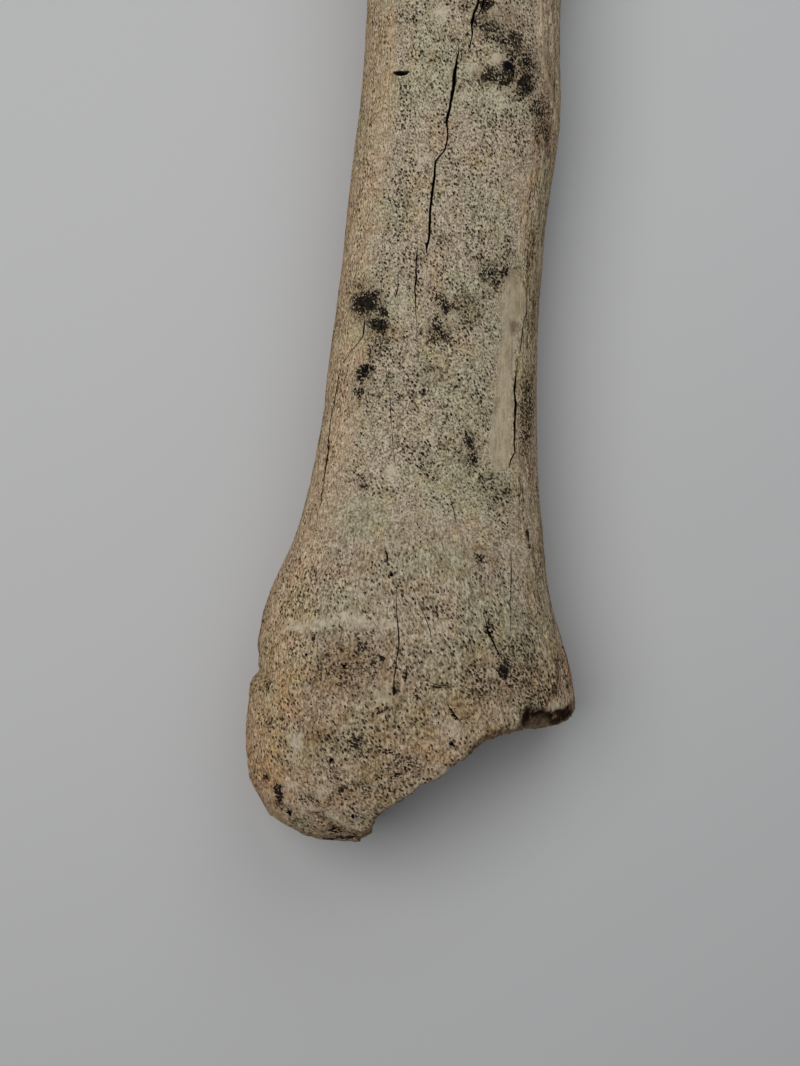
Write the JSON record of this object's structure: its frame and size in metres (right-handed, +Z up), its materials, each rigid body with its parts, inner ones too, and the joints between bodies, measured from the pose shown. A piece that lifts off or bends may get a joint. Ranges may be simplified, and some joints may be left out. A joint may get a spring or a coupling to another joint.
{
  "type": "cow leg bone",
  "caption": "Weathered cow forearm bone with a broad waisted shaft, a dished upper joint and a lower end broken off aslant; lies flat on its back.",
  "frame": {"origin": "on the resting plane, below the middle of the bone's box", "axes": "+Y along the bone towards its upper, dished joint; the broken lower end is at -Y; +Z up, out of the bone's front; +X to the right as seen from above with the upper joint away from the viewer"},
  "size_m": [0.0788, 0.2914, 0.0436],
  "materials": {
    "weathered_bone": "dry, matt, weathered bone: greyish beige with tan edges, dense dark specks, black stains and reddish spongy bone in the break"
  },
  "bodies": {
    "root": {"bone": "weathered_bone"}
  },
  "joints": []
}
